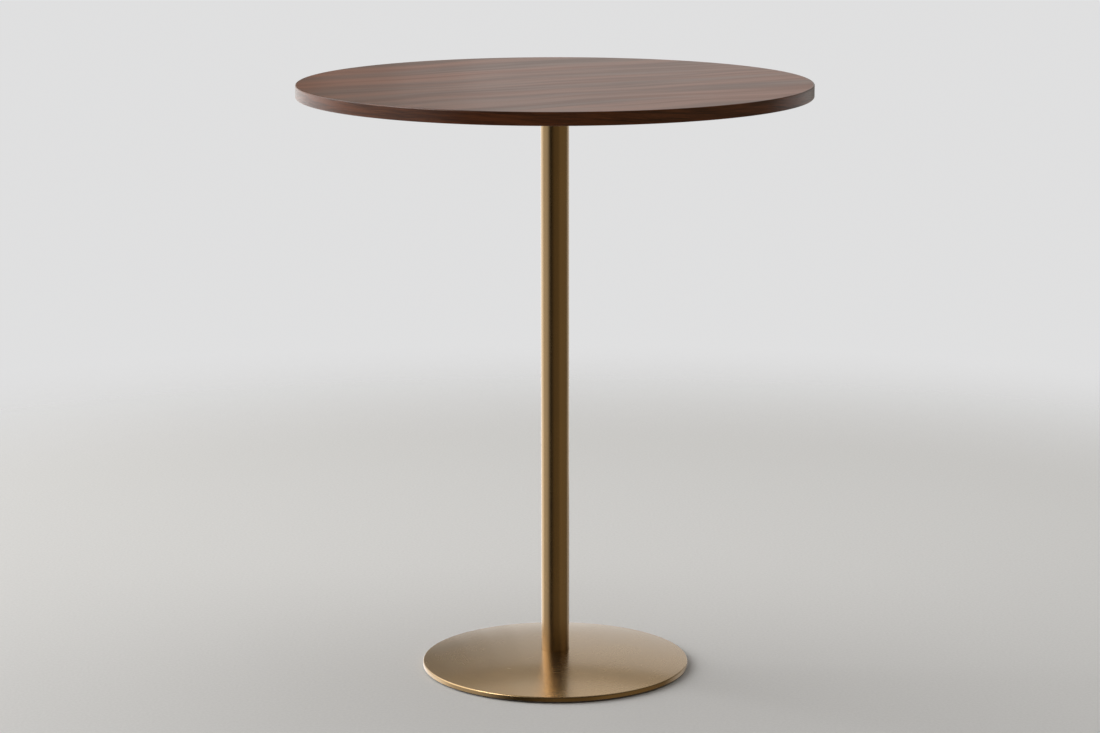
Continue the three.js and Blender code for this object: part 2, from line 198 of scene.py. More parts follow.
def revolved(name, rings, sides, place=(0, 0), closed=False):
    """A body of revolution from (radius, height) rings. A radius may be a function of the
    angle, and a ring of radius 0 is one point."""
    mesh = bmesh.new()
    loops = []
    for radius, height in rings:
        loop = []
        for side in range(1 if radius == 0 else sides):
            angle = 2 * pi * side / sides
            reach = radius(angle) if callable(radius) else radius
            loop.append(mesh.verts.new((
                place[0] + reach * cos(angle),
                place[1] + reach * sin(angle),
                height,
            )))
        loops.append(loop)
    follows = loops[1:] + (loops[:1] if closed else [])
    for here, there in zip(loops, follows):
        for side in range(sides):
            turn = (side + 1) % sides
            if len(here) == 1:
                mesh.faces.new((here[0], there[turn], there[side]))
            elif len(there) == 1:
                mesh.faces.new((here[side], here[turn], there[0]))
            else:
                mesh.faces.new((here[side], here[turn], there[turn], there[side]))
    return finished(name, mesh)


def disc(name, radius, bottom, top, sides, place=(0, 0)):
    rings = [(0, bottom), (radius, bottom), (radius, top), (0, top)]
    return revolved(name, rings, sides, place)


def extruded(name, points, lift):
    """A flat outline of 3D points, pushed along a vector."""
    mesh = bmesh.new()
    face = mesh.faces.new([mesh.verts.new(point) for point in points])
    moved = bmesh.ops.extrude_face_region(mesh, geom=[face])["geom"]
    bmesh.ops.translate(mesh, vec=lift, verts=[v for v in moved if isinstance(v, bmesh.types.BMVert)])
    return finished(name, mesh)


def applied(piece):
    """The piece's own mesh with its modifiers worked in."""
    graph = bpy.context.evaluated_depsgraph_get()
    data = bpy.data.meshes.new_from_object(piece.evaluated_get(graph))
    piece.modifiers.clear()
    piece.data = data
    for face in data.polygons:
        face.use_smooth = True
    data.set_sharp_from_angle(angle=SHARP_ANGLE)


def combined(piece, tools, operation):
    """The piece joined with the tools or cut by them, and the tools removed."""
    for tool in tools:
        modifier = piece.modifiers.new(operation, "BOOLEAN")
        modifier.operation = operation
        modifier.solver = "EXACT"
        modifier.object = tool
    applied(piece)
    for tool in tools:
        bpy.data.objects.remove(tool)


def drills(places, radius, bottom, top):
    return [disc("drill", radius, bottom, top, SMALL_SIDES, place) for place in places]


def thread(radius, depth, pitch, bottom, top):
    """Rings of a right-hand thread that runs out at both ends."""
    def groove(height):
        fade = min(1, (height - bottom) / pitch, (top - height) / pitch)
        turns = height / pitch

        def reach(angle):
            return radius - depth * max(0, fade) * abs(2 * ((turns - angle / (2 * pi)) % 1) - 1)
        return reach

    steps = round((top - bottom) / pitch * THREAD_STEPS)
    levels = [bottom + (top - bottom) * step / steps for step in range(steps + 1)]
    return [(groove(height), height) for height in levels]


def lobed(angle):
    """The outline of a six-lobe drive recess."""
    return DRIVE_RADIUS + DRIVE_LOBE * cos(LOBES * angle)


def hexagonal(angle):
    """The outline of a hexagon socket."""
    sixth = pi / 3
    return KEY_RADIUS * cos(sixth / 2) / cos(angle % sixth - sixth / 2)


# ---- Node helpers --------------------------------------------------------------------

class Graph:
    """Short ways to build one node tree."""

    def __init__(self, tree):
        tree.nodes.clear()
        self.tree = tree

    def put(self, kind, sockets=None, **settings):
        node = self.tree.nodes.new("ShaderNode" + kind)
        for name, value in settings.items():
            setattr(node, name, value)
        for name, value in (sockets or {}).items():
            if isinstance(value, bpy.types.NodeSocket):
                self.tree.links.new(value, node.inputs[name])
            else:
                node.inputs[name].default_value = value
        return node

    def math(self, operation, first, second=0.0):
        return self.put("Math", {0: first, 1: second}, operation=operation).outputs[0]

    def spread(self, value, low, high, to_low=0.0, to_high=1.0):
        """A value from low to high, eased to the range to_low to to_high."""
        sockets = {0: value, 1: low, 2: high, 3: to_low, 4: to_high}
        return self.put("MapRange", sockets, interpolation_type="SMOOTHSTEP").outputs[0]

    def blend(self, factor, first, second, mode="MIX"):
        sockets = {0: factor, 6: first, 7: second}
        return self.put("Mix", sockets, data_type="RGBA", blend_type=mode).outputs[2]

    def split(self, vector):
        return self.put("SeparateXYZ", {0: vector}).outputs

    def join(self, across, along, up):
        return self.put("CombineXYZ", {0: across, 1: along, 2: up}).outputs[0]

    def scaled(self, vector, amounts):
        sockets = {0: vector, 1: amounts}
        return self.put("VectorMath", sockets, operation="MULTIPLY").outputs[0]

    def noise(self, vector, scale=1.0, detail=2.0, roughness=0.5):
        sockets = {"Vector": vector, "Scale": scale, "Detail": detail, "Roughness": roughness}
        return self.put("TexNoise", sockets).outputs[0]

    def bump(self, height, distance, strength=1.0):
        sockets = {"Height": height, "Distance": distance, "Strength": strength}
        return self.put("Bump", sockets).outputs[0]


def material(name, build):
    """A material whose shader is set up by build(graph), which returns its socket values."""
    made = bpy.data.materials.new(name)
    made.use_nodes = True
    graph = Graph(made.node_tree)
    shader = graph.put("BsdfPrincipled", build(graph))
    graph.put("OutputMaterial", {0: shader.outputs[0]})
    return made


def place_of(graph):
    return graph.put("TexCoord").outputs["Object"]


# ---- Walnut --------------------------------------------------------------------------

GRAIN_ANGLE = radians(30)
WALNUT_RED = (0.250, 0.086, 0.040, 1)
WALNUT_BROWN = (0.160, 0.076, 0.048, 1)
WALNUT_DARK = (0.075, 0.036, 0.026, 1)
EDGE_LIGHT = (0.185, 0.060, 0.023, 1)
EDGE_DARK = (0.072, 0.025, 0.011, 1)
BACKING_LIGHT = (0.190, 0.098, 0.056, 1)
BACKING_DARK = (0.110, 0.056, 0.033, 1)

# Marks of the figure per metre along and across the grain, and a place in the noise
BROAD_FIGURE = (1.0, 9.0, 3.0)
FIGURE = (2.0, 26.0, 8.0)
FINE_GRAIN = (7.0, 260.0, 15.0)
FACE_PORES = (32.0, 1500.0, 21.0)
BACKING_FIGURE = (3.0, 60.0, 31.0)
BACKING_PORES = (40.0, 1300.0, 36.0)

GRAIN_SWING_SCALE = 2.4
GRAIN_SWING = 0.12
GRAIN_RIPPLE_SCALE = (5.0, 14.0, 1.0)
GRAIN_RIPPLE = 0.016
FACE_BUMP = 0.04 * MM
BACKING_BUMP = 0.08 * MM

EDGE_SLOPE = 0.045
EDGE_SWING_SCALE = 9.0
EDGE_SWING = 0.012
EDGE_BROAD_SCALE = (7.0, 7.0, 130.0)
EDGE_FINE_SCALE = (22.0, 22.0, 900.0)
EDGE_BROAD_SHARE = 0.55
EDGE_FINE_SHARE = 0.45
EDGE_BUMP = 0.05 * MM
EDGE_LACQUER = 0.35


def grain_axes(graph):
    """Distances along and across the grain of the veneer, which wanders a little."""
    turned = graph.put("VectorRotate", {"Vector": place_of(graph), "Angle": -GRAIN_ANGLE})
    along, across, up = graph.split(turned.outputs[0])
    swing = graph.noise(turned.outputs[0], GRAIN_SWING_SCALE, 1.0)
    ripple = graph.noise(graph.scaled(turned.outputs[0], GRAIN_RIPPLE_SCALE), 1.0, 2.0)
    shift = graph.math("MULTIPLY", graph.math("SUBTRACT", swing, 0.5), GRAIN_SWING)
    small = graph.math("MULTIPLY", graph.math("SUBTRACT", ripple, 0.5), GRAIN_RIPPLE)
    across = graph.math("ADD", across, graph.math("ADD", shift, small))
    return along, across


def streaks(graph, along, across, marks, detail=2.0):
    """Noise drawn out along the grain, from marks per metre along and across it."""
    length, width, seed = marks
    stretched = graph.join(
        graph.math("MULTIPLY", along, length),
        graph.math("MULTIPLY", across, width),
        seed,
    )
    return graph.noise(stretched, 1.0, detail, 0.55)


def walnut_face(graph):
    along, across = grain_axes(graph)
    broad = graph.spread(streaks(graph, along, across, BROAD_FIGURE), 0.36, 0.64)
    figure = graph.spread(streaks(graph, along, across, FIGURE, 3.0), 0.32, 0.66)
    fine = graph.spread(streaks(graph, along, across, FINE_GRAIN, 3.0), 0.3, 0.7)
    pores = graph.spread(streaks(graph, along, across, FACE_PORES), 0.60, 0.72)
    colour = graph.blend(broad, WALNUT_BROWN, WALNUT_RED)
    colour = graph.blend(graph.spread(figure, 0.0, 1.0, 0.36, 0.0), colour, WALNUT_DARK)
    tone = graph.spread(fine, 0.0, 1.0, 0.86, 1.12)
    colour = graph.blend(1.0, colour, graph.join(tone, tone, tone), "MULTIPLY")
    colour = graph.blend(graph.math("MULTIPLY", pores, 0.5), colour, WALNUT_DARK)
    return {
        "Base Color": colour,
        "Roughness": graph.spread(figure, 0.0, 1.0, 0.38, 0.33),
        "IOR": 1.5,
        "Normal": graph.bump(graph.math("SUBTRACT", fine, pores), FACE_BUMP, 0.5),
    }


def walnut_edge(graph):
    """The grain of the bent lipping runs round the rim, with a slight slope, under lacquer."""
    across, along, up = graph.split(place_of(graph))
    slope = graph.math("MULTIPLY", graph.math("ADD", across, along), EDGE_SLOPE)
    swing = graph.noise(place_of(graph), EDGE_SWING_SCALE, 1.0)
    level = graph.math("ADD", up, slope)
    level = graph.math("ADD", level, graph.math("MULTIPLY", swing, EDGE_SWING))
    wavy = graph.join(across, along, level)
    broad = graph.noise(graph.scaled(wavy, EDGE_BROAD_SCALE), 1.0, 2.0)
    fine = graph.noise(graph.scaled(wavy, EDGE_FINE_SCALE), 1.0, 3.0, 0.6)
    broad_part = graph.math("MULTIPLY", broad, EDGE_BROAD_SHARE)
    fine_part = graph.math("MULTIPLY", fine, EDGE_FINE_SHARE)
    mixed = graph.math("ADD", broad_part, fine_part)
    return {
        "Base Color": graph.blend(graph.spread(mixed, 0.36, 0.62), EDGE_DARK, EDGE_LIGHT),
        "Roughness": graph.spread(fine, 0.3, 0.7, 0.36, 0.28),
        "IOR": 1.34,
        "Coat Weight": EDGE_LACQUER,
        "Coat Roughness": 0.16,
        "Normal": graph.bump(fine, EDGE_BUMP, 0.5),
    }


def backing_veneer(graph):
    along, across = grain_axes(graph)
    figure = graph.spread(streaks(graph, along, across, BACKING_FIGURE, 3.0), 0.34, 0.66)
    pores = graph.spread(streaks(graph, along, across, BACKING_PORES), 0.58, 0.7)
    colour = graph.blend(figure, BACKING_DARK, BACKING_LIGHT)
    return {
        "Base Color": graph.blend(graph.math("MULTIPLY", pores, 0.4), colour, WALNUT_DARK),
        "Roughness": graph.spread(figure, 0.0, 1.0, 0.62, 0.52),
        "Normal": graph.bump(pores, BACKING_BUMP, 0.4),
    }


# ---- Board ---------------------------------------------------------------------------

FIBRE_DARK = (0.30, 0.20, 0.11, 1)
FIBRE_LIGHT = (0.50, 0.37, 0.23, 1)
FIBRE_SCALE = 900.0
FIBRE_CLOUD_SCALE = 60.0
FIBRE_BUMP = 0.2 * MM


def core_board(graph):
    """Pressed wood fibre, pale and matt."""
    fibre = graph.noise(place_of(graph), FIBRE_SCALE, 4.0, 0.65)
    cloud = graph.noise(place_of(graph), FIBRE_CLOUD_SCALE, 2.0)
    colour = graph.blend(graph.spread(fibre, 0.3, 0.7), FIBRE_DARK, FIBRE_LIGHT)
    tone = graph.spread(cloud, 0.3, 0.7, 0.88, 1.08)
    return {
        "Base Color": graph.blend(1.0, colour, graph.join(tone, tone, tone), "MULTIPLY"),
        "Roughness": 0.9,
        "Normal": graph.bump(fibre, FIBRE_BUMP, 0.5),
    }


# ---- Metals and nylon ------------------------------------------------------------------

BRASS_WARM = (0.515, 0.342, 0.160, 1)
BRASS_DULL = (0.495, 0.332, 0.160, 1)
PATINA_SCALE = 14.0
LACQUER = 0.6

# Drawn lines have marks per metre round and along the tube. Spun lines have marks per
# metre from line to line, and per radian round the disc.
DRAWN_LINES = (1900.0, 1900.0, 9.0)
DRAWN_BUMP = 0.02 * MM
SPUN_LINES = (420.0, 420.0, 2.0)

IRON_BLACK = (0.012, 0.012, 0.013, 1)
IRON_DUSTY = (0.026, 0.025, 0.025, 1)
IRON_PEBBLES = 620.0
IRON_CLOUD_SCALE = 25.0
IRON_BUMP = 0.35 * MM

PLATE_BLACK = (0.016, 0.016, 0.017, 1)
PLATE_SCUFFED = (0.05, 0.05, 0.05, 1)
PLATE_PEEL = 380.0
PLATE_SCUFFS = (900.0, 60.0, 900.0)
PLATE_BUMP = 0.12 * MM

ZINC_BLUE = (0.46, 0.47, 0.49, 1)
ZINC_WARM = (0.60, 0.60, 0.58, 1)
ZINC_TURNING = (300.0, 300.0, 5200.0)
ZINC_MOTTLE = 240.0
ZINC_BUMP = 0.03 * MM

NYLON_DARK = (0.013, 0.013, 0.013, 1)
NYLON_LIGHT = (0.022, 0.022, 0.021, 1)
NYLON_GRAIN = 2400.0
NYLON_FLOW = 90.0
NYLON_BUMP = 0.08 * MM


def brass(graph, lines):
    """Satin brass: a slight patina, and drawn or spun lines that vary its polish."""
    patina = graph.noise(place_of(graph), PATINA_SCALE, 3.0, 0.55)
    satin = graph.spread(patina, 0.3, 0.7, 0.25, 0.27)
    rough = graph.math("ADD", satin, graph.spread(lines, 0.3, 0.7, -0.01, 0.01))
    return {
        "Base Color": graph.blend(graph.spread(patina, 0.35, 0.65), BRASS_DULL, BRASS_WARM),
        "Metallic": 1.0,
        "Roughness": rough,
        "Coat Weight": LACQUER,
        "Coat Roughness": 0.13,
    }


def brass_column(graph):
    """Lines drawn along the tube."""
    lines = graph.noise(graph.scaled(place_of(graph), DRAWN_LINES), 1.0, 2.0)
    return {**brass(graph, lines), "Normal": graph.bump(lines, DRAWN_BUMP, 0.35)}


def brass_foot(graph):
    """Lines spun round the disc."""
    across, along, up = graph.split(place_of(graph))
    level = graph.join(across, along, 0.0)
    reach = graph.put("VectorMath", {0: level}, operation="LENGTH").outputs[1]
    turn = graph.math("ARCTAN2", along, across)
    spun = graph.scaled(graph.join(reach, up, turn), SPUN_LINES)
    return brass(graph, graph.noise(spun, 1.0, 2.0))


def spider_iron(graph):
    """Sand-cast iron under black paint: pebbled, with a faint dusty lift."""
    pebbles = graph.noise(place_of(graph), IRON_PEBBLES, 3.0, 0.6)
    cloud = graph.noise(place_of(graph), IRON_CLOUD_SCALE, 3.0)
    return {
        "Base Color": graph.blend(graph.spread(cloud, 0.35, 0.65), IRON_BLACK, IRON_DUSTY),
        "Roughness": graph.spread(pebbles, 0.3, 0.7, 0.44, 0.6),
        "Normal": graph.bump(pebbles, IRON_BUMP, 0.7),
    }


def plate_steel(graph):
    """Flat steel plate with a thin black coat and a light orange-peel."""
    peel = graph.noise(place_of(graph), PLATE_PEEL, 2.0)
    scuffs = graph.noise(graph.scaled(place_of(graph), PLATE_SCUFFS), 1.0, 3.0, 0.6)
    return {
        "Base Color": graph.blend(graph.spread(scuffs, 0.62, 0.75), PLATE_BLACK, PLATE_SCUFFED),
        "Roughness": graph.spread(peel, 0.3, 0.7, 0.36, 0.48),
        "Normal": graph.bump(peel, PLATE_BUMP, 0.4),
    }


def zinc_steel(graph):
    """Bright zinc plate with fine turned marks and a mottled passivate."""
    turned = graph.noise(graph.scaled(place_of(graph), ZINC_TURNING), 1.0, 2.0)
    mottle = graph.noise(place_of(graph), ZINC_MOTTLE, 3.0)
    return {
        "Base Color": graph.blend(graph.spread(mottle, 0.35, 0.65), ZINC_BLUE, ZINC_WARM),
        "Metallic": 1.0,
        "Roughness": graph.spread(mottle, 0.3, 0.7, 0.26, 0.38),
        "Normal": graph.bump(turned, ZINC_BUMP, 0.4),
    }


def nylon(graph):
    """Moulded black nylon with a fine spark-eroded grain."""
    grain = graph.noise(place_of(graph), NYLON_GRAIN, 2.0)
    flow = graph.noise(place_of(graph), NYLON_FLOW, 2.0)
    return {
        "Base Color": graph.blend(graph.spread(flow, 0.35, 0.65), NYLON_DARK, NYLON_LIGHT),
        "Roughness": graph.spread(grain, 0.3, 0.7, 0.5, 0.62),
        "Normal": graph.bump(grain, NYLON_BUMP, 0.5),
    }


FINISHES = {
    "walnut_face": material("walnut_face", walnut_face),
    "walnut_edge": material("walnut_edge", walnut_edge),
    "backing_veneer": material("backing_veneer", backing_veneer),
    "core_board": material("core_board", core_board),
    "brass_column": material("brass_column", brass_column),
    "brass_foot": material("brass_foot", brass_foot),
    "spider_iron": material("spider_iron", spider_iron),
    "plate_steel": material("plate_steel", plate_steel),
    "zinc_steel": material("zinc_steel", zinc_steel),
    "nylon": material("nylon", nylon),
}


def install(piece, node, body, finish):
    """Gives a piece its finish, and puts it on its body in place of its CAD node."""
    piece.data.materials.append(FINISHES[finish])
    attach(piece, body)
    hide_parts(node)


def refinish(node, finish):
    """A CAD node whose shape stays gets its procedural finish."""
    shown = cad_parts[node]
    if not shown.material_slots:
        shown.data.materials.append(None)
    for held in shown.material_slots:
        held.material = FINISHES[finish]


TABLE = "table_frame"


# ---- Top -----------------------------------------------------------------------------

SCREW_NODES = [f"top_screw_{k}" for k in range(1, INSERT_COUNT + 1)]
SCREW_PLACES = [centre(node) for node in SCREW_NODES]


def add_top():
    radius = radius_of("top_face_veneer")
    bottom, top = heights("top_face_veneer")
    face = disc("walnut_top_face", radius, bottom, top, DISC_SIDES)
    install(face, "top_face_veneer", TABLE, "walnut_face")

    bottom, top = heights("top_backing_veneer")
    back = disc("top_underside_veneer", radius, bottom, top, DISC_SIDES)
    combined(back, drills(SCREW_PLACES, INSERT_HOLE_RADIUS, bottom - MM, top + MM), "DIFFERENCE")
    install(back, "top_backing_veneer", TABLE, "backing_veneer")


def add_edge():
    outer = radius_of("edge_lipping")
    inner = radius_of("top_core") + LIPPING_GAP
    bottom, top = heights("edge_lipping")
    rings = outline([
        (inner, bottom, 0),
        (outer, bottom, EDGE_ARRIS),
        (outer, top, EDGE_ARRIS),
        (inner, top, 0),
    ])
    band = revolved("walnut_edge_band", rings, DISC_SIDES, closed=True)
    install(band, "edge_lipping", TABLE, "walnut_edge")


# ---- Spider --------------------------------------------------------------------------

def arm_pieces(angle, top):
    """A flat flange with a round end, and a rib that tapers, along one arm."""
    half = ARM_WIDTH / 2
    flange_bottom = top - ARM_FLANGE
    flat = [(0, -half)]
    for step in range(ARM_END_SIDES + 1):
        turn = -pi / 2 + pi * step / ARM_END_SIDES
        flat.append((ARM_REACH - half + half * cos(turn), half * sin(turn)))
    flat.append((0, half))
    side = [
        (0, flange_bottom + ARM_FLANGE / 2),
        (0, top - RIB_DEPTH_AT_HUB),
        (HUB_RADIUS, top - RIB_DEPTH_AT_HUB),
        (RIB_END, flange_bottom - RIB_DEPTH_AT_TIP),
        (RIB_END, flange_bottom + ARM_FLANGE / 2),
    ]
    flange = extruded("flange", [(x, y, flange_bottom) for x, y in flat], (0, 0, ARM_FLANGE))
    rib = extruded("rib", [(x, -RIB_WIDTH / 2, z) for x, z in side], (0, RIB_WIDTH, 0))
    for piece in (flange, rib):
        piece.data.transform(Matrix.Rotation(angle, 4, "Z"))
    return [flange, rib]


def add_spider():
    bottom, top = heights("top_spider")
    socket_top = bottom + SOCKET_DEPTH
    web_top = socket_top + HUB_WEB
    spider = disc("cast_spider", HUB_RADIUS, bottom, top, TUBE_SIDES)
    arms = []
    for k in range(ARM_COUNT):
        arms += arm_pieces(ARM_FIRST_ANGLE + 2 * pi * k / ARM_COUNT, top)
    combined(spider, arms, "UNION")
    cuts = [
        disc("socket", SOCKET_RADIUS, bottom - MM, socket_top, TUBE_SIDES),
        disc("rod_hole", ROD_HOLE_RADIUS, socket_top - MM, web_top + MM, SMALL_SIDES),
        disc("recess", NUT_RECESS_RADIUS, web_top, top + MM, TUBE_SIDES),
    ]
    cuts += drills(SCREW_PLACES, SCREW_HOLE_RADIUS, bottom, top + MM)
    combined(spider, cuts, "DIFFERENCE")
    bevel = spider.modifiers.new("rounding", "BEVEL")
    bevel.width = CAST_BEVEL
    bevel.segments = CAST_BEVEL_STEPS
    bevel.limit_method = "ANGLE"
    bevel.angle_limit = CAST_BEVEL_ANGLE
    bevel.harden_normals = False
    applied(spider)
    install(spider, "top_spider", TABLE, "spider_iron")


# ---- Screws --------------------------------------------------------------------------

def recess_rings(mouth, depth, shape):
    return [(0, mouth + depth), (shape, mouth + depth), (shape, mouth)]


def shank_rings(start, tip):
    """A plain neck, the thread, and a chamfered tip."""
    run_out = tip - TIP_CHAMFER
    return [
        (M6_RADIUS, start),
        *thread(M6_RADIUS, M6_DEPTH, M6_PITCH, start + PLAIN_SHANK, run_out),
        (M6_RADIUS - TIP_CHAMFER, tip),
        (0, tip),
    ]


def add_top_screws():
    for k, node in enumerate(SCREW_NODES, start=1):
        bottom, tip = heights(node)
        seat = bottom + PAN_HEIGHT
        radius = radius_of(node)
        head = outline([
            (DRIVE_RIM, bottom, 0),
            (radius, bottom, PAN_CROWN),
            (radius, seat, SHEET_ARRIS),
            (M6_RADIUS, seat, 0),
        ])[:-1]
        rings = [*recess_rings(bottom, DRIVE_DEPTH, lobed), *head, *shank_rings(seat, tip)]
        screw = revolved(f"pan_head_screw_{k}", rings, SMALL_SIDES, centre(node))
        install(screw, node, TABLE, "zinc_steel")


def add_spigot_screws():
    for k in range(1, SPIGOT_SCREW_COUNT + 1):
        node = f"spigot_screw_{k}"
        bottom, tip = heights(node)
        neck = bottom + SINK_DEPTH
        rings = [
            *recess_rings(bottom, DRIVE_DEPTH, lobed),
            (DRIVE_RIM, bottom),
            (radius_of(node), bottom),
            (radius_of(node), bottom + SINK_LAND),
            *shank_rings(neck, tip),
        ]
        screw = revolved(f"countersunk_screw_{k}", rings, SMALL_SIDES, centre(node))
        install(screw, node, TABLE, "zinc_steel")


# ---- Column and foot -----------------------------------------------------------------

def add_column():
    outer = radius_of("column_tube")
    inner = outer - TUBE_WALL
    bottom, top = heights("column_tube")
    rings = outline([
        (inner, bottom, TUBE_ARRIS),
        (outer, bottom, TUBE_ARRIS),
        (outer, top, TUBE_ARRIS),
        (inner, top, TUBE_ARRIS),
    ])
    column = revolved("column", rings, TUBE_SIDES, closed=True)
    install(column, "column_tube", TABLE, "brass_column")


def add_cover():
    """Spun sheet over the weight plate: a low dome, rolled down at the rim. Each face of
    the sheet is an arc about the dome's centre that runs on into the bend."""
    outer = radius_of("base_cover")
    bottom = heights("base_cover")[0]
    rim_top = heights("base_weight")[1] + COVER_SHEET
    hole = radius_of("column_tube") + COVER_GAP

    bend = (outer - COVER_BEND, rim_top - COVER_BEND)
    distance = (bend[0] ** 2 + COVER_RISE ** 2) / (2 * COVER_RISE)
    dome = (0, bend[1] + COVER_RISE - distance)
    rim_angle = asin((bend[1] - dome[1]) / distance)
    guard_angle = rim_angle + FLAT_GUARD / distance
    face = distance + COVER_BEND
    lining = face - COVER_SHEET
    face_corner = (hole, dome[1] + (face ** 2 - hole ** 2) ** 0.5, SHEET_ARRIS)
    lining_corner = (hole, dome[1] + (lining ** 2 - hole ** 2) ** 0.5, SHEET_ARRIS)
    rings = outline([
        (outer - COVER_SHEET, bottom, SHEET_ARRIS),
        (outer, bottom, SHEET_ARRIS),
        (outer, bend[1] - FLAT_GUARD, 0),
        *arc(bend, COVER_BEND, 0, rim_angle),
        *arc(dome, face, guard_angle, acos(hole / face), DOME_STEPS)[:-1],
        face_corner,
        lining_corner,
        *arc(dome, lining, acos(hole / lining), guard_angle, DOME_STEPS)[1:],
        *arc(bend, COVER_BEND - COVER_SHEET, rim_angle, 0),
    ])
    cover = revolved("foot_cover", rings, DISC_SIDES, closed=True)
    install(cover, "base_cover", TABLE, "brass_foot")


# ---- Glides --------------------------------------------------------------------------

PAD_KEY_HOLE = 4 * MM
PAD_SHANK_HOLE = 4.5 * MM
PAD_GROOVE_RADIUS = 7.2 * MM
PAD_GROOVE_BOTTOM = 1 * MM
PAD_GROOVE_TOP = 2.6 * MM


def add_pad(k):
    node = f"glide_pad_{k}"
    bottom, top = heights(node)
    radius = radius_of(node)
    rings = outline([
        (PAD_KEY_HOLE, bottom, SHEET_ARRIS),
        (radius, bottom, PAD_ARRIS),
        (radius, top, PAD_TOP_ARRIS),
        (PAD_SHANK_HOLE, top, SHEET_ARRIS),
        (PAD_SHANK_HOLE, bottom + PAD_GROOVE_TOP, 0),
        (PAD_GROOVE_RADIUS, bottom + PAD_GROOVE_TOP, 0),
        (PAD_GROOVE_RADIUS, bottom + PAD_GROOVE_BOTTOM, 0),
        (PAD_KEY_HOLE, bottom + PAD_GROOVE_BOTTOM, 0),
    ])
    pad = revolved(f"nylon_pad_{k}", rings, TUBE_SIDES, centre(node), closed=True)
    install(pad, node, f"glide_pad_body_{k}", "nylon")


def add_stud(k):
    node = f"glide_stud_{k}"
    bottom, tip = heights(node)
    flange_top = bottom + STUD_FLANGE
    flange = outline([
        (DRIVE_RIM, bottom, 0),
        (radius_of(node), bottom, SHEET_ARRIS),
        (radius_of(node), flange_top, SHEET_ARRIS),
        (M8_RADIUS, flange_top, 0),
    ])
    rings = [
        *recess_rings(bottom, KEY_DEPTH, hexagonal),
        *flange,
        *thread(M8_RADIUS, M8_DEPTH, M8_PITCH, flange_top + SHEET_ARRIS, tip - TIP_CHAMFER),
        (M8_RADIUS - TIP_CHAMFER, tip),
        (0, tip),
    ]
    stud = revolved(f"threaded_stud_{k}", rings, SMALL_SIDES, centre(node))
    install(stud, node, f"glide_stud_body_{k}", "zinc_steel")


def add_glides():
    for k in range(1, GLIDE_COUNT + 1):
        add_pad(k)
        add_stud(k)


# ---- CAD pieces that keep their shape ----------------------------------------------------

def add_finishes():
    refinish("top_core", "core_board")
    refinish("base_weight", "plate_steel")
    for node in ("tie_rod", "tie_rod_washer", "tie_rod_nut", "base_spigot"):
        refinish(node, "zinc_steel")
    for k in range(1, INSERT_COUNT + 1):
        refinish(f"top_insert_{k}", "zinc_steel")


# ---- Camera, floor and light -----------------------------------------------------------

BACKDROP = (0.742, 0.742, 0.745, 1)
FLOOR_TONE = (0.795, 0.791, 0.776, 1)
FLOOR_TONE_DARK = (0.755, 0.751, 0.736, 1)
FLOOR_RADIUS = 3.4
FLOOR_SIDES = 96
FLOOR_GRAIN = 190.0
FADE_START = 1.75
FADE_END = 3.1


def add_camera():
    ahead = Vector((
        sin(CAMERA_YAW) * cos(CAMERA_PITCH),
        cos(CAMERA_YAW) * cos(CAMERA_PITCH),
        -sin(CAMERA_PITCH),
    ))
    level = Vector((cos(CAMERA_YAW), -sin(CAMERA_YAW), 0))
    upright = level.cross(ahead)
    right = level * cos(CAMERA_ROLL) + upright * sin(CAMERA_ROLL)
    up = upright * cos(CAMERA_ROLL) - level * sin(CAMERA_ROLL)
    data = bpy.data.cameras.new("camera")
    data.lens = LENS
    data.sensor_width = SENSOR
    camera = bpy.data.objects.new("camera", data)
    turn = Matrix((right, up, -ahead)).transposed().to_4x4()
    camera.matrix_world = Matrix.Translation(CAMERA_PLACE) @ turn
    bpy.context.scene.collection.objects.link(camera)
    bpy.context.scene.camera = camera


def floor_material():
    """A pale matt floor that fades out into the backdrop."""
    made = bpy.data.materials.new("floor")
    made.use_nodes = True
    graph = Graph(made.node_tree)
    place = place_of(graph)
    grain = graph.noise(place, FLOOR_GRAIN, 4.0, 0.6)
    colour = graph.blend(graph.spread(grain, 0.3, 0.7), FLOOR_TONE_DARK, FLOOR_TONE)
    matt = graph.put("BsdfDiffuse", {"Color": colour})
    clear = graph.put("BsdfTransparent")
    reach = graph.put("VectorMath", {0: place}, operation="LENGTH").outputs[1]
    fade = graph.spread(reach, FADE_START, FADE_END)
    mixed = graph.put("MixShader", {0: fade, 1: matt.outputs[0], 2: clear.outputs[0]})
    graph.put("OutputMaterial", {0: mixed.outputs[0]})
    return made


def add_floor():
    mesh = bmesh.new()
    bmesh.ops.create_circle(mesh, cap_ends=True, radius=FLOOR_RADIUS, segments=FLOOR_SIDES)
    floor = finished("floor", mesh)
    floor.data.materials.append(floor_material())
    floor.visible_glossy = False


def add_area(name, place, aim, width, height, radiance, glossy=True, diffuse=True):
    """A soft rectangular light of a given radiance, hidden from the camera."""
    data = bpy.data.lights.new(name, "AREA")
    data.shape = "RECTANGLE"
    data.size = width
    data.size_y = height
    data.energy = radiance * pi * width * height
    light = bpy.data.objects.new(name, data)
    light.location = place
    light.rotation_mode = "QUATERNION"
    light.rotation_quaternion = (Vector(aim) - Vector(place)).to_track_quat("-Z", "Y")
    light.visible_camera = False
    light.visible_glossy = glossy
    light.visible_diffuse = diffuse
    bpy.context.scene.collection.objects.link(light)


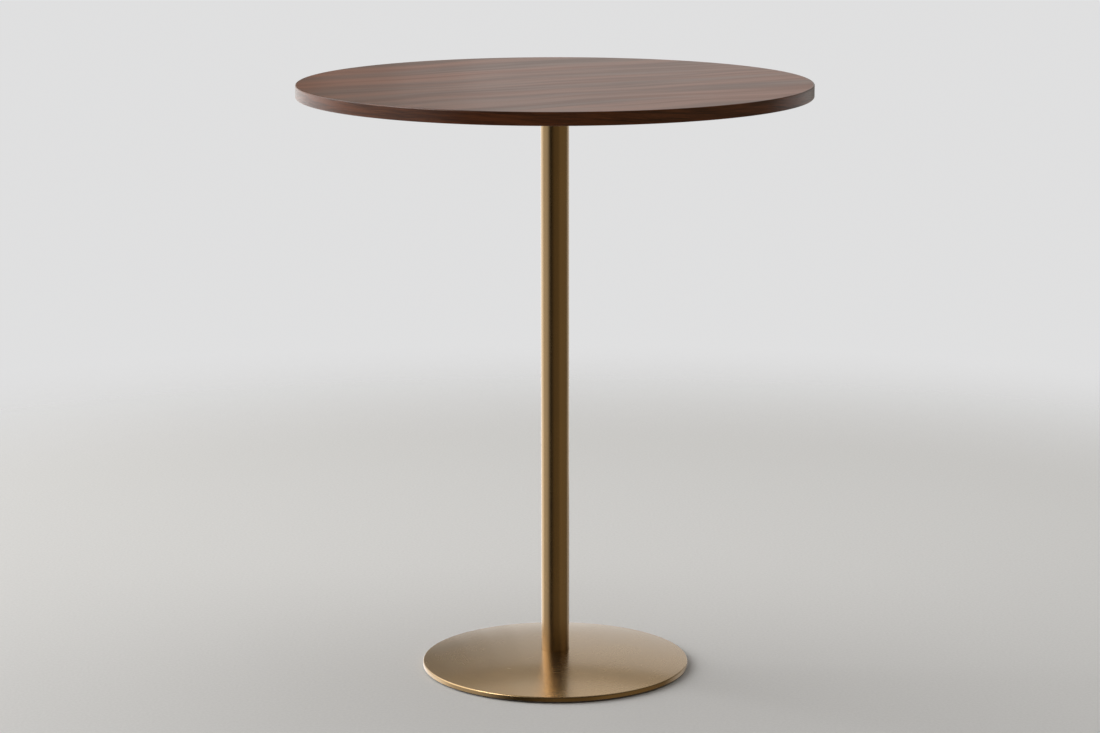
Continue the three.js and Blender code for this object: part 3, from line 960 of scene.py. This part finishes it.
# Soft patches of the studio round the table: azimuth from the front towards the right,
# elevation, inner and outer angle of the patch in degrees, and colour times radiance.
PATCHES = [
    (180, 75, 10, 62, (0.30, 0.30, 0.30)),
    (180, 10, 20, 75, (0.070, 0.058, 0.040)),
    (-146, -24, 14, 46, (1.30, 1.30, 1.30)),
    (-87, 2, 8, 51, (0.60, 0.59, 0.58)),
    (-102, 34, 12, 34, (1.15, 1.15, 1.15)),
    (-136, 34, 12, 32, (1.25, 1.25, 1.25)),
    (16, -20, 10, 46, (0.105, 0.080, 0.044)),
    (-68, 34, 8, 28, (0.35, 0.35, 0.35)),
    (76, -8, 10, 50, (0.17, 0.135, 0.085)),
    (134, -2, 8, 28, (0.34, 0.34, 0.34)),
    (150, -24, 14, 44, (0.12, 0.12, 0.12)),
]
ROOM_LIGHT = (0.022, 0.018, 0.013)

# Lights with a place, the point they face, width, height and radiance. The first two
# light the matt surfaces, and the third only shows as a glint.
WINDOW = ((-4.5, 1.5, 2.0), (0, 0, 0.7), 2.6, 2.6, 4.8)
OVERHEAD = ((0.9, 0.7, 4.2), (0.9, 0.7, 0), 4.4, 2.2, 1.22)
SIDE_WINDOW = ((-2.3, -0.95, 2.75), (0, 0, 1.0), 1.5, 1.2, 8.0)

# Upright strips behind the table that only its shiny surfaces mirror. Their ends are
# staggered, so that together they fade out to the left, and each stands at its own
# depth. Each is (left, right, depth).
WALL_STRIPS = [(-0.54, 0.62, 1.74), (-0.36, 0.95, 1.76), (-0.20, 0.95, 1.78)]
WALL_MIDDLE = 1.62
WALL_HEIGHT = 0.96
WALL_RADIANCE = 0.19
LOW_WALL_STRIPS = [
    (-0.80, 1.1, 1.70),
    (-0.42, 1.1, 1.69),
    (-0.31, 1.1, 1.68),
    (-0.22, 1.1, 1.67),
    (-0.13, 1.1, 1.66),
    (0.00, 1.1, 1.65),
]
LOW_WALL_MIDDLE = 0.36
LOW_WALL_HEIGHT = 0.92
LOW_WALL_RADIANCE = 0.090


def direction(azimuth, elevation):
    turn, lift = radians(azimuth), radians(elevation)
    return (sin(turn) * cos(lift), -cos(turn) * cos(lift), sin(lift))


def add_world():
    """The camera sees a plain backdrop. Everything else is lit by the soft patches."""
    world = bpy.data.worlds.new("studio")
    world.use_nodes = True
    bpy.context.scene.world = world
    graph = Graph(world.node_tree)
    facing = graph.put("TexCoord").outputs["Generated"]
    total = graph.join(*ROOM_LIGHT)
    for azimuth, elevation, inner, outer, colour in PATCHES:
        sockets = {0: facing, 1: direction(azimuth, elevation)}
        closeness = graph.put("VectorMath", sockets, operation="DOT_PRODUCT").outputs[1]
        glow = graph.spread(closeness, cos(radians(outer)), cos(radians(inner)))
        patch = graph.scaled(graph.join(glow, glow, glow), colour)
        total = graph.put("VectorMath", {0: total, 1: patch}, operation="ADD").outputs[0]
    studio = graph.put("Background", {0: total, 1: 1.0})
    backdrop = graph.put("Background", {0: BACKDROP, 1: 1.0})
    seen = graph.put("LightPath").outputs["Is Camera Ray"]
    mixed = graph.put("MixShader", {0: seen, 1: studio.outputs[0], 2: backdrop.outputs[0]})
    graph.put("OutputWorld", {0: mixed.outputs[0]})


def add_strips(name, strips, middle, height, radiance):
    for left, right, depth in strips:
        across = (left + right) / 2
        place = (across, depth, middle)
        add_area(name, place, (across, 0, middle), right - left, height, radiance, diffuse=False)


def add_lights():
    add_area("window", *WINDOW, glossy=False)
    add_area("side_window", *SIDE_WINDOW, diffuse=False)
    add_area("overhead", *OVERHEAD, glossy=False)
    add_strips("wall", WALL_STRIPS, WALL_MIDDLE, WALL_HEIGHT, WALL_RADIANCE)
    add_strips("low_wall", LOW_WALL_STRIPS, LOW_WALL_MIDDLE, LOW_WALL_HEIGHT, LOW_WALL_RADIANCE)


# ---- Making everything -----------------------------------------------------------------

bpy.context.scene.view_settings.view_transform = "Standard"
add_camera()
add_world()
add_lights()
add_floor()

add_top()
add_edge()
add_spider()
add_top_screws()
add_column()
add_cover()
add_spigot_screws()
add_glides()

add_finishes()
